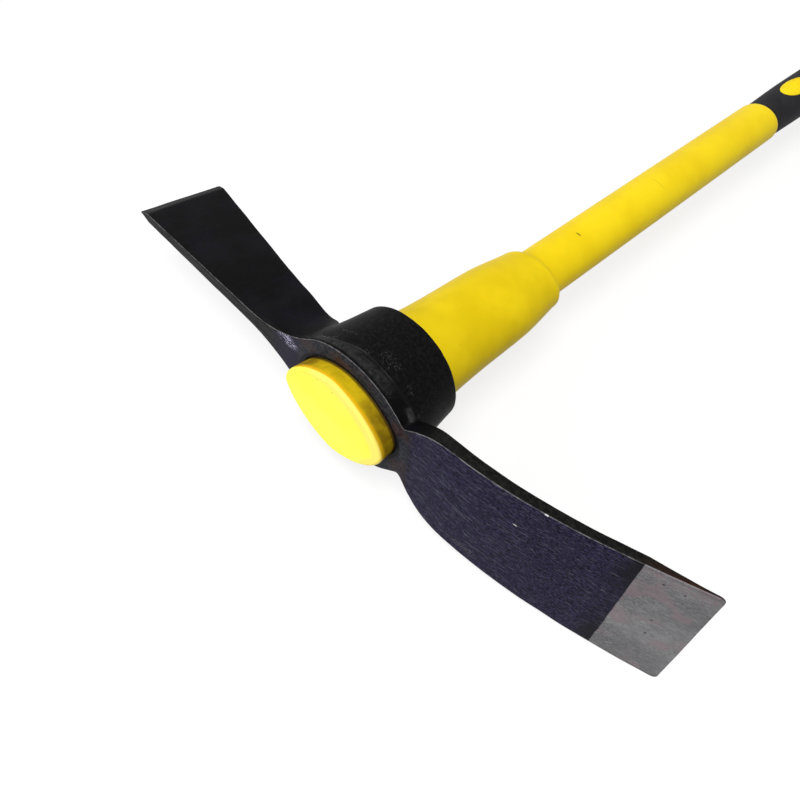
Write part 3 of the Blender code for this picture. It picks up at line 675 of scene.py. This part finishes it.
class Nodes:
    # one node tree, with a short method for each thing that the finishes are made of

    def __init__(self, tree):
        self.tree = tree

    def feed(self, socket, value):
        # links a socket, or sets a plain number, place or colour
        if isinstance(value, bpy.types.NodeSocket):
            self.tree.links.new(value, socket)
        else:
            socket.default_value = (*value, 1.0) if socket.type == "RGBA" else value

    def add(self, kind, feeds=(), **settings):
        made = self.tree.nodes.new("ShaderNode" + kind)
        for key, value in settings.items():
            setattr(made, key, value)
        for key, value in dict(feeds).items():
            self.feed(made.inputs[key], value)
        return made

    def group(self, name, **values):
        return self.add("Group", values, node_tree=groups[name]).outputs

    def coords(self, kind="Object"):
        shared = self.tree.nodes.get("coords") or self.add("TexCoord", name="coords")
        return shared.outputs[kind]

    def axes(self, kind="Object"):
        split = self.add("SeparateXYZ", {"Vector": self.coords(kind)})
        return [split.outputs[axis] for axis in "XYZ"]

    def attribute(self, name):
        return self.add("Attribute", attribute_name=name).outputs["Fac"]

    def math(self, operation, *values, clamp=False):
        return self.add("Math", enumerate(values), operation=operation, use_clamp=clamp).outputs[0]

    def times(self, value, *others):
        for other in others:
            value = self.math("MULTIPLY", value, other)
        return value

    def joined(self, first, second):
        return self.math("ADD", first, second, clamp=True)

    def away(self, value, place=0.0):
        # how far the value is from a place
        return self.math("ABSOLUTE", self.math("SUBTRACT", value, place))

    def mixColor(self, factor, first, second):
        return self.add("Mix", {0: factor, 6: first, 7: second}, data_type="RGBA").outputs[2]

    def mixValue(self, factor, first, second):
        return self.add("Mix", {0: factor, 2: first, 3: second}, data_type="FLOAT").outputs[0]

    def paint(self, base, *layers):
        # each layer is a mask and the colour that it lays over what is there
        for mask, color in layers:
            base = self.mixColor(mask, base, color)
        return base

    def ramp(self, value, low, high, outLow=0.0, outHigh=1.0):
        feeds = {"Value": value, "From Min": low, "From Max": high, "To Min": outLow, "To Max": outHigh}
        return self.add("MapRange", feeds, interpolation_type="SMOOTHSTEP").outputs[0]

    def fall(self, value, low, high):
        return self.ramp(value, low, high, 1.0, 0.0)

    def between(self, value, low, full, past, high):
        # rises from low to full, and falls from past to high
        return self.times(self.ramp(value, low, full), self.fall(value, past, high))

    def noise(self, scale, detail=3.0, roughness=0.55, stretch=None, turn=(0.0, 0.0, 0.0)):
        where = self.coords()
        if stretch:
            where = self.add("Mapping", {"Vector": where, "Scale": stretch, "Rotation": turn}).outputs[0]
        feeds = {"Vector": where, "Scale": scale, "Detail": detail, "Roughness": roughness}
        return self.add("TexNoise", feeds).outputs["Fac"]

    def spot(self, centre, size, soft=0.5):
        # 1 inside an oval of half sizes "size" round a point, fading to 0 at its border
        moved = self.add("VectorMath", {0: self.coords(), 1: centre}, operation="SUBTRACT").outputs[0]
        scaled = self.add("VectorMath", {0: moved, 1: size}, operation="DIVIDE").outputs[0]
        return self.fall(self.add("VectorMath", {0: scaled}, operation="LENGTH").outputs["Value"], soft, 1.0)

    def ovalLevel(self, x, z, centre, halves, power):
        # |x/a|^n + |z/b|^n, which is 1 on the oval's own line
        shares = [self.math("DIVIDE", self.away(value, middle), half)
                  for value, middle, half in zip((x, z), centre, halves)]
        return self.math("ADD", *(self.math("POWER", share, power) for share in shares))

    def surface(self, shader, color, roughness, height, fixed):
        # the last links of every finish; fixed holds the specular level and the bump's distance and strength
        specular, distance, strength = fixed
        bump = self.add("Bump", {"Height": height, "Distance": distance, "Strength": strength})
        for label, value in (("Base Color", color), ("Roughness", roughness), ("Normal", bump.outputs[0]),
                             ("Specular IOR Level", specular)):
            self.feed(shader.inputs[label], value)


def newMaterial(name):
    material = bpy.data.materials.new(name)
    material.use_nodes = True
    material.node_tree.nodes.clear()
    n = Nodes(material.node_tree)
    shader = n.add("BsdfPrincipled")
    n.add("OutputMaterial", {"Surface": shader.outputs["BSDF"]})
    return material, n, shader


def newGroup(make, inputs, *outputs):
    # a node group named after the function that works out its outputs from its inputs
    group = bpy.data.node_groups.new(make.__name__, "ShaderNodeTree")
    for label, value in inputs.items():
        socket = group.interface.new_socket(label, in_out="INPUT", socket_type="NodeSocketFloat")
        socket.default_value = value
    for label in outputs:
        group.interface.new_socket(label, in_out="OUTPUT", socket_type="NodeSocketFloat")
    n = Nodes(group)
    made = make(n, group.nodes.new("NodeGroupInput").outputs)
    result = group.nodes.new("NodeGroupOutput")
    for label, socket in zip(outputs, made):
        n.feed(result.inputs[label], socket)
    return group


def fineGrain(n, given):
    # fine even grain of a cast or moulded skin, with softer blotches under it
    return n.noise(given["Scale"], 2.0), n.noise(given["Blotch"], 3.0, 0.6)


def lengthwiseScratches(n, given):
    # thin scratches, cut to the peaks of a noise stretched along X, and short brush marks
    thin = n.noise(1.0, 1.0, 0.4, (210.0, 60.0, 2400.0))
    full = n.math("ADD", given["Cut"], 0.05)
    mask = n.add("MapRange", {"Value": thin, "From Min": given["Cut"], "From Max": full})
    return mask.outputs[0], n.noise(1.0, 2.0, 0.7, (760.0, 300.0, 2300.0))


def scatteredSpecks(n, given):
    # small scattered dots: the hearts of random cells, kept where a soft noise is high
    cells = n.add("TexVoronoi", {"Vector": n.coords(), "Scale": given["Scale"]})
    dot = n.add("MapRange", {"Value": cells.outputs["Distance"], "From Min": given["Size"], "From Max": 0.02})
    return [n.times(dot.outputs[0], n.math("GREATER_THAN", n.noise(140.0, 2.0), given["Share"]))]


def forgedWrinkles(n, given):
    # thin broken wrinkles of a forged skin: the level lines of a soft noise, kept where a wider noise is high
    lines = n.fall(n.away(n.noise(given["Scale"], 2.0), 0.5), 0.004, 0.016)
    return [n.times(lines, n.ramp(n.math("SUBTRACT", n.noise(85.0, 2.0), given["Kept"]), 0.0, 0.06))]


groups = {
    "grain": newGroup(fineGrain, {"Scale": 900.0, "Blotch": 40.0}, "Height", "Patch"),
    "scratches": newGroup(lengthwiseScratches, {"Cut": 0.66}, "Mask", "Brush"),
    "specks": newGroup(scatteredSpecks, {"Scale": 400.0, "Size": 0.18, "Share": 0.6}, "Mask"),
    "wrinkles": newGroup(forgedWrinkles, {"Scale": 200.0, "Kept": 0.52}, "Mask"),
}


# The head's finish. Two colours are a mottle's dark and light end. Places and fades along X are in metres.

steel = {
    "blackTop": ((0.0018, 0.0018, 0.002), (0.0046, 0.0044, 0.0058)),
    "purpleTint": (0.0085, 0.0065, 0.018),
    "blackCollar": ((0.0016, 0.0016, 0.0016), (0.0076, 0.0076, 0.0076)),
    # the wrinkles' lighter tone is a painted highlight
    "wrinkleHighlight": (0.05, 0.05, 0.052),
    # a painted highlight on the small ridge beside the adze
    "knuckleHighlight": (0.045, 0.045, 0.047),
    "band": ((0.002, 0.0021, 0.0024), (0.0135, 0.013, 0.013)),
    "bandSpeck": (0.13, 0.13, 0.13),
    "bandSpill": 0.05,           # how much of the band's tone the collar takes beside it
    # a painted highlight along the step behind the band
    "stepHighlight": (0.07, 0.07, 0.07),
    "lipLine": (0.0016, 0.0013, 0.0013),
    "indigo": ((0.0012, 0.0008, 0.005), (0.0272, 0.023, 0.058)),
    "faceScratch": (0.13, 0.13, 0.17),
    "smudgeTone": (0.08, 0.078, 0.095),
    "glintTone": (0.6, 0.6, 0.6),
    "rim": ((0.011, 0.013, 0.019), (0.03, 0.0135, 0.012)),
    "rimFleck": (0.065, 0.062, 0.07),
    "rimShadow": (0.002, 0.0018, 0.0022),
    "axeFront": ((0.004, 0.004, 0.0045), (0.02, 0.0196, 0.0205)),
    "rootPurple": (0.015, 0.013, 0.027),
    "scuffTone": (0.6, 0.58, 0.78),
    "bevel": (0.018, 0.018, 0.019),
    "side": ((0.003, 0.0034, 0.0032), (0.013, 0.0136, 0.012)),
    "sideRust": (0.034, 0.013, 0.0085),
    # a thin line along the front edges: part worn edge, part painted highlight
    "wornAndHighlightLine": (0.175, 0.172, 0.165),
    "wornAndHighlightWidth": (0.0001, 0.00031),
    "groundStart": 0.15675,      # where the bare zone starts, and how it slants and wavers
    "groundSlant": 0.018,
    "groundWaver": 0.0012,
    "besideGround": (0.0035, 0.0035, 0.0045),
    "silver": ((0.11, 0.111, 0.113), (0.195, 0.195, 0.197)),
    "silverStreak": (0.36, 0.36, 0.38),
    "silverFleck": (0.088, 0.082, 0.088),
    "silverScratch": (0.4, 0.4, 0.42),
    "silverPink": (0.205, 0.15, 0.165),
    "silverDark": (0.03, 0.026, 0.03),
    "frontDepth": (0.00025, 0.0007),
    "adzeFrom": (0.04, 0.048),
    "adzeSideFrom": (0.048, 0.062),
    "rustFrom": (0.15, 0.176),
    "axeUpTo": (-0.052, -0.036),
    "bevelUpTo": (-0.1885, -0.1868),
    "rootSpan": (-0.064, -0.052, -0.042, -0.034),
    "rimSpan": (-0.044, -0.036, 0.04, 0.046),
    "bandSpan": (-0.044, -0.036, 0.022, 0.03),
    "stepHighlightSpan": (-0.044, -0.036, 0.018, 0.026),
    # marks: centre and half sizes
    "smudge": ((0.085, 0.012, -0.0285), (0.013, 0.05, 0.0028)),
    "scuff": ((-0.0472, 0.0125, 0.01), (0.011, 0.05, 0.0058)),
    "rimPatches": (((-0.0045, 0.0112, 0.0278), (0.01, 0.05, 0.0045)),
                   ((0.0333, 0.0112, 0.0134), (0.0035, 0.05, 0.0065))),
    # painted highlights: two small glints on the adze's face and top edge
    "glints": (((0.106, 0.012, 0.0156), (0.0014, 0.05, 0.0004)),
               ((0.1166, 0.014, 0.0347), (0.0012, 0.05, 0.0004))),
    "pits": ((0.1715, 0.026, 0.0043), (0.1725, 0.026, -0.0073),
             (0.1755, 0.026, 0.0319), (0.167, 0.026, 0.032)),
    "pitSize": (0.0007, 0.02, 0.0007),
    "metallic": 0.85,
    "surface": (0.04, 0.0002, 0.35),     # specular level, bump distance and strength
}


def forgedSteel():
    # black coated forging, bare and ground at the adze's edge, with a thin line along the front edges that is
    # part worn edge and part painted highlight
    material, n, shader = newMaterial("forgedSteel")
    grain = n.group("grain", Scale=1500.0, Blotch=26.0)
    scratches = n.group("scratches", Cut=0.635)
    patch, brush, scratch = grain["Patch"], scratches["Brush"], scratches["Mask"]
    dot = n.group("specks", Scale=520.0, Size=0.22, Share=0.52)["Mask"]
    wrinkle = n.group("wrinkles", Scale=230.0, Kept=0.53)["Mask"]
    x, _, z = n.axes()
    behind, edge, outside, fromBore, knuckle = (n.attribute(name) for name in (
        "behindFront", "edgeDistance", "collarOutside", "boreDistance", "knuckle"))
    fleck = n.ramp(n.noise(560.0, 5.0, 0.75), 0.42, 0.64)
    streak = n.ramp(brush, 0.44, 0.59)
    broken = n.ramp(n.noise(170.0, 4.0, 0.7), 0.36, 0.62, 0.2, 1.0)
    ridges = n.ramp(n.noise(1.0, 2.0, 0.5, (45.0, 500.0, 1300.0)), 0.38, 0.64)

    # where each finish lies
    front = n.fall(behind, *steel["frontDepth"])
    adzeFace = n.times(front, n.ramp(x, *steel["adzeFrom"]))
    axeFace = n.times(front, n.fall(x, *steel["axeUpTo"]))
    aroundEye = n.between(x, *steel["rimSpan"])
    onCollar = n.ramp(outside, 0.0002, 0.0009)
    band = n.joined(n.times(n.fall(behind, 0.0105, 0.0165), onCollar, steel["bandSpill"]),
                    n.times(n.between(x, *steel["bandSpan"]), n.math("SUBTRACT", 1.0, onCollar)))
    wrinkled = n.times(wrinkle, onCollar, n.ramp(behind, 0.014, 0.026, 1.0, 0.15))
    # a painted highlight along the step that ends the band behind the rim
    step = n.times(n.fall(n.away(outside, 0.0003), 0.0001, 0.0005), 0.7, broken,
                   n.between(x, *steel["stepHighlightSpan"]), n.ramp(behind, 0.0015, 0.0025))

    # tones that are more than a mottle of two colours
    onSide = n.ramp(n.away(n.axes("Normal")[2]), 0.5, 0.8)
    rust = n.times(n.ramp(x, *steel["rustFrom"]), n.ramp(patch, 0.4, 0.6), onSide)
    sideTone = n.mixColor(n.ramp(n.noise(1.0, 4.0, 0.7, (420.0, 520.0, 900.0)), 0.36, 0.66), *steel["side"])
    brown = n.times(n.ramp(n.noise(60.0, 3.0, 0.6), 0.5, 0.6), 0.6)
    for place, size in steel["rimPatches"]:
        brown = n.math("MAXIMUM", brown, n.spot(place, size, 0.3))
    rimTone = n.paint(n.mixColor(brown, *steel["rim"]), (n.times(fleck, 0.4), steel["rimFleck"]),
                      (n.ramp(fromBore, 0.0016, 0.0028, 0.85, 0.0), steel["rimShadow"]))
    crossed = n.away(n.noise(1.0, 3.0, 0.65, (180.0, 200.0, 900.0), (0.0, 0.5, 0.0)), 0.5)

    coat = n.paint(
        n.mixColor(n.ramp(patch, 0.42, 0.62), *steel["blackTop"]),
        (n.times(n.ramp(n.noise(48.0), 0.5, 0.62), fleck, 0.5), steel["purpleTint"]),
        (onCollar, n.mixColor(fleck, *steel["blackCollar"])),
        # the forged wrinkles, painted lighter as their highlights
        (n.times(wrinkled, 0.8), steel["wrinkleHighlight"]),
        (band, n.mixColor(fleck, *steel["band"])),
        (step, steel["stepHighlight"]),
        (n.ramp(x, *steel["adzeSideFrom"]), n.mixColor(rust, sideTone, steel["sideRust"])),
        (adzeFace, n.mixColor(streak, *steel["indigo"])),
        (n.times(front, aroundEye), rimTone),
        (axeFace, n.mixColor(ridges, *steel["axeFront"])),
        (n.times(front, n.between(x, *steel["rootSpan"]), 0.85), steel["rootPurple"]),
        (n.times(n.fall(x, *steel["bevelUpTo"]), 0.5), steel["bevel"]),
        (n.times(scratch, adzeFace, 0.45), steel["faceScratch"]),
        (n.times(n.spot(*steel["smudge"], 0.1), streak, adzeFace), steel["smudgeTone"]),
        (n.times(n.spot(*steel["scuff"], 0.2), n.fall(crossed, 0.012, 0.034), front), steel["scuffTone"]),
        (n.times(dot, band, 0.5), steel["bandSpeck"]),
        # a painted highlight along the small ridge beside the adze
        (n.times(n.ramp(knuckle, 0.3, 0.75), n.mixValue(fleck, 0.3, 1.0)), steel["knuckleHighlight"]),
        (n.times(aroundEye, n.between(behind, 0.0006, 0.0009, 0.0012, 0.0018), 0.7), steel["lipLine"]),
    )

    # the bare zone, on a nearly straight line across the adze, with the coat darkest beside it
    waver = n.times(n.math("SUBTRACT", n.noise(110.0), 0.5), steel["groundWaver"])
    start = n.math("ADD", n.math("MULTIPLY_ADD", z, steel["groundSlant"], steel["groundStart"]), waver)
    past = n.math("SUBTRACT", x, start)
    ground = n.times(front, n.ramp(past, -0.0002, 0.0002))
    beside = n.times(front, n.ramp(past, -0.012, -0.001), n.ramp(n.away(z), 0.006, 0.03, 0.3, 0.9))
    pink = n.math("MAXIMUM", n.times(n.ramp(n.noise(75.0, 2.0), 0.5, 0.62), 0.55),
                  n.times(n.ramp(z, 0.029, 0.038), fleck, 0.9))
    dark = n.times(dot, n.ramp(z, 0.02, 0.027), n.ramp(past, 0.008, 0.02))
    for place in steel["pits"]:
        dark = n.joined(dark, n.spot(place, steel["pitSize"]))
    silver = n.paint(
        n.mixColor(n.ramp(patch, 0.35, 0.65), *steel["silver"]),
        (n.times(streak, 0.2), steel["silverStreak"]),
        (n.times(fleck, 0.4), steel["silverFleck"]),
        (n.times(n.fall(past, 0.004, 0.016), n.fall(brush, 0.36, 0.5), 0.45), steel["silverDark"]),
        (n.times(scratch, 0.3), steel["silverScratch"]),
        (pink, steel["silverPink"]),
        (dark, steel["silverDark"]),
        (n.times(n.fall(edge, 0.0006, 0.003), 0.3), steel["silverDark"]),
    )

    # the thin line along the front edges, part worn edge and part painted highlight, brighter and fainter
    # along its length, and the painted glints
    line = n.times(n.fall(edge, *steel["wornAndHighlightWidth"]), broken, n.ramp(x, -0.06, -0.045, 0.75, 1.0))
    coat = n.paint(coat, (beside, steel["besideGround"]), (line, steel["wornAndHighlightLine"]),
                   *((n.times(n.spot(*glint), front), steel["glintTone"]) for glint in steel["glints"]))

    rough = n.mixValue(ground, n.mixValue(patch, 0.4, 0.56), n.mixValue(brush, 0.42, 0.55))
    height = n.math("MULTIPLY_ADD", brush, n.math("ADD", adzeFace, ground), grain["Height"])
    height = n.math("MULTIPLY_ADD", wrinkled, 1.5, height)
    height = n.math("SUBTRACT", height, n.times(n.joined(dark, scratch), 0.8))
    height = n.math("MULTIPLY_ADD", ridges, axeFace, height)
    n.feed(shader.inputs["Metallic"], n.times(ground, steel["metallic"]))
    n.surface(shader, n.mixColor(ground, coat, silver), rough, height, steel["surface"])
    return material


# The jacket's finish.

plastic = {
    "boss": ((0.83, 0.595, 0.005), (0.95, 0.7, 0.009)),
    "shaft": ((0.93, 0.665, 0.007), (1.0, 0.74, 0.011)),
    "shaftFrom": (0.158, 0.166),
    # the cap's end face, painted a lighter lemon yellow as the strong light on it
    "capFace": ((0.97, 0.91, 0.085), (1.0, 0.96, 0.12)),
    # the cap's side, painted darker golden brown as its shade, with its light end for the top
    "capSideLitAndShaded": ((0.78, 0.55, 0.01), (0.27, 0.17, 0.006)),
    "capSideUpTo": (0.0128, 0.0134),
    "sideEdge": (0.98, 0.55, 0.01),
    # painted shade where the cap's side meets the rim
    "sideRootShade": (0.06, 0.035, 0.01),
    "faceRim": (0.97, 0.76, 0.16),
    "faceLine": ((-0.004, -0.001), (0.0325, 0.0222), 1.62),   # centre, half sizes and pointedness
    "faceLineTone": (0.78, 0.6, 0.1),
    "dash": ((0.0014, 0.2007, 0.0138), (0.0024, 0.0008, 0.01)),
    "dashTone": (0.16, 0.1, 0.01),
    "witnessArc": (0.2885, -0.004, 0.0, 0.007, 0.011),        # place along the shaft, and its span across
    "witnessTone": (0.6, 0.42, 0.02),
    "dirt": (0.35, 0.24, 0.02),
    "faceSpecks": ((-0.0094, 0.0, 0.0205), (0.0011, 0.0, 0.0198)),
    "faceSpeckSize": (0.0008, 0.01, 0.0005),
    "faceSpeckTone": (0.3, 0.22, 0.05),
    "surface": (0.05, 0.0001, 0.2),
}


def yellowPlastic():
    # satin moulded plastic with a faint flow pattern, a fine skin and the moulding's witness marks, and
    # painted light and shade on the cap
    material, n, shader = newMaterial("yellowPlastic")
    grain = n.group("grain", Scale=1800.0, Blotch=22.0)
    dirt = n.group("specks", Scale=150.0, Size=0.07, Share=0.6)["Mask"]
    x, y, z = n.axes()
    patch = grain["Patch"]
    cloud = n.ramp(patch, 0.36, 0.64)
    # a random mottle, plus painted shade that darkens the cap's side below its top
    mottle = n.joined(n.ramp(n.noise(210.0), 0.38, 0.66, -0.12, 0.15), n.ramp(z, 0.0165, 0.0245, 0.88, 0.15))
    side = n.paint(n.mixColor(mottle, *plastic["capSideLitAndShaded"]),
                   (n.ramp(y, 0.0024, 0.0046, 0.8, 0.0), plastic["sideEdge"]),
                   # painted shade on the cap's side just before it enters the eye
                   (n.ramp(y, 0.0098, 0.0108, 0.0, 0.85), plastic["sideRootShade"]))
    onFace = n.fall(y, 0.0011, 0.0021)
    level = n.ovalLevel(x, z, *plastic["faceLine"])
    upper = n.times(onFace, n.ramp(n.math("ADD", x, z), 0.0, 0.01))
    faceLine = n.times(n.fall(n.away(level, 1.0), 0.012, 0.036), onFace, n.ramp(z, -0.004, 0.004))
    place, *across = plastic["witnessArc"]
    arcLine = n.times(n.fall(n.away(y, place), 0.0002, 0.0006), n.between(x, *across))
    tone = n.paint(
        n.mixColor(cloud, *plastic["boss"]),
        (n.ramp(y, *plastic["shaftFrom"]), n.mixColor(cloud, *plastic["shaft"])),
        (n.fall(y, *plastic["capSideUpTo"]), side),
        # the end face painted lighter: painted light
        (onFace, n.mixColor(n.ramp(patch, 0.4, 0.6), *plastic["capFace"])),
        (n.times(upper, n.ramp(level, 0.99, 1.12, 0.0, 0.8)), plastic["faceRim"]),
        (n.times(faceLine, 0.5), plastic["faceLineTone"]),
        (n.times(n.spot(*plastic["dash"]), 0.85), plastic["dashTone"]),
        (n.times(arcLine, 0.35), plastic["witnessTone"]),
        (n.times(dirt, 0.45), plastic["dirt"]),
        *((n.times(n.spot(speck, plastic["faceSpeckSize"]), 0.6), plastic["faceSpeckTone"])
          for speck in plastic["faceSpecks"]),
    )
    height = n.math("SUBTRACT", grain["Height"], n.times(n.math("ADD", faceLine, arcLine), 1.5))
    n.surface(shader, tone, n.mixValue(patch, 0.36, 0.46), height, plastic["surface"])
    return material


# The finishes of the grip and the core.

rubber = {"tones": ((0.0085, 0.0085, 0.0105), (0.015, 0.0145, 0.0165)), "surface": (0.08, 0.00015, 0.3)}
glass = {"tones": ((0.52, 0.47, 0.3), (0.72, 0.68, 0.5)), "surface": (0.5, 0.0002, 0.3)}


def blackRubber():
    # matt rubber with a fine skin and faint lighter patches
    material, n, shader = newMaterial("blackRubber")
    grain = n.group("grain", Scale=1200.0, Blotch=60.0)
    tone = n.mixColor(n.ramp(grain["Patch"], 0.4, 0.6), *rubber["tones"])
    n.surface(shader, tone, n.mixValue(grain["Patch"], 0.55, 0.7), grain["Height"], rubber["surface"])
    return material


def fibreglass():
    # pultruded rod: straight glass fibres along Y in a clear resin
    material, n, shader = newMaterial("pultrudedFibreglass")
    fibres = n.noise(1.0, 2.0, stretch=(1500.0, 12.0, 1500.0))
    tone, rough = n.mixColor(fibres, *glass["tones"]), n.mixValue(fibres, 0.35, 0.55)
    n.surface(shader, tone, rough, fibres, glass["surface"])
    return material


# pieces

def dress(obj, material):
    obj.data.materials.clear()
    obj.data.materials.append(material)


forgedHead = buildHead()
dress(forgedHead, forgedSteel())
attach(forgedHead, "head")
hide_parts("mattock_head")
print("head made:", len(forgedHead.data.polygons), "faces")

yellowJacket = buildJacket()
dress(yellowJacket, yellowPlastic())
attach(yellowJacket, "handle")
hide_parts("handle_jacket")
print("jacket made:", len(yellowJacket.data.polygons), "faces")

rubberGrip = buildGrip()
dress(rubberGrip, blackRubber())
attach(rubberGrip, "handle")
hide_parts("rubber_grip")
print("grip made:", len(rubberGrip.data.polygons), "faces")

dress(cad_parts["fibreglass_core"], fibreglass())
print("core finished")


# floor, light and camera

studio = {
    "floorSize": 6.0,
    "floorBounce": 0.42,         # the floor's grey for light that falls on the object
    "floorSeen": (0.24, 0.8),   # what the camera sees: a share that takes the shadow, and plain white
    "worldStrength": 0.36,
    # name: place, aim, size, power
    "lamps": {
        "topSoftbox": ((0.3, -0.95, 3.1), (0.0, 0.2, 0.0), 1.8, 66.0),
        "frontSoftbox": ((-0.55, -3.1, 1.0), (0.0, 0.1, 0.0), 1.6, 66.0),
    },
    "cameraPlace": (0.17471, -0.15674, 0.29857),
    "cameraTurn": (39.6072, -4.3636, 45.1718),
    "cameraLens": (34.2157, 36.0),       # focal length and sensor width in millimetres
    "clipStart": 0.01,
}


def seenDirectly(n):
    # 1 for what the camera, a reflection or a clear material sees, 0 for light that falls on the object
    rays = n.add("LightPath").outputs
    return n.math("MAXIMUM", rays["Is Camera Ray"],
                  n.math("MAXIMUM", rays["Is Glossy Ray"], rays["Is Transmission Ray"]))


def buildFloor():
    half = studio["floorSize"] / 2.0
    mesh = bpy.data.meshes.new("floor")
    corners = [(x * half, y * half, cadBox[0][2]) for x, y in ((-1, -1), (1, -1), (1, 1), (-1, 1))]
    mesh.from_pydata(corners, [], [(0, 1, 2, 3)])
    material, n, shader = newMaterial("paleFloor")
    direct, (seen, white) = seenDirectly(n), studio["floorSeen"]
    tone = n.mixColor(direct, [studio["floorBounce"]] * 3, [seen] * 3)
    for label, value in (("Base Color", tone), ("Emission Color", (1.0, 1.0, 1.0)), ("Roughness", 0.9),
                         ("Emission Strength", n.times(direct, white)), ("Specular IOR Level", 0.0)):
        n.feed(shader.inputs[label], value)
    mesh.materials.append(material)
    floor = addObject("floor", mesh)


def buildLight():
    world = bpy.data.worlds.new("studio")
    bpy.context.scene.world = world
    world.use_nodes = True
    n, background = Nodes(world.node_tree), world.node_tree.nodes["Background"]
    n.feed(background.inputs["Color"], (1.0, 1.0, 1.0))
    n.feed(background.inputs["Strength"], n.mixValue(seenDirectly(n), studio["worldStrength"], 1.0))
    for name, (place, aim, size, power) in studio["lamps"].items():
        lamp = bpy.data.lights.new(name, "AREA")
        lamp.shape, lamp.size, lamp.energy = "DISK", size, power
        holder = addObject(name, lamp)
        holder.location = place
        holder.rotation_euler = turnTowards(np.subtract(aim, place))


def turnTowards(direction):
    # turns a lamp's -Z towards the direction
    x, y, z = direction
    return (math.atan2(math.hypot(x, y), -z), 0.0, math.atan2(-x, y))


def buildCamera():
    camera = bpy.data.cameras.new("camera")
    camera.lens, camera.sensor_width = studio["cameraLens"]
    camera.clip_start = studio["clipStart"]
    holder = addObject("camera", camera)
    holder.location = studio["cameraPlace"]
    holder.rotation_euler = np.radians(studio["cameraTurn"])
    bpy.context.scene.camera = holder


buildFloor()
buildLight()
buildCamera()
bpy.context.scene.view_settings.view_transform = "Standard"
print("studio ready")
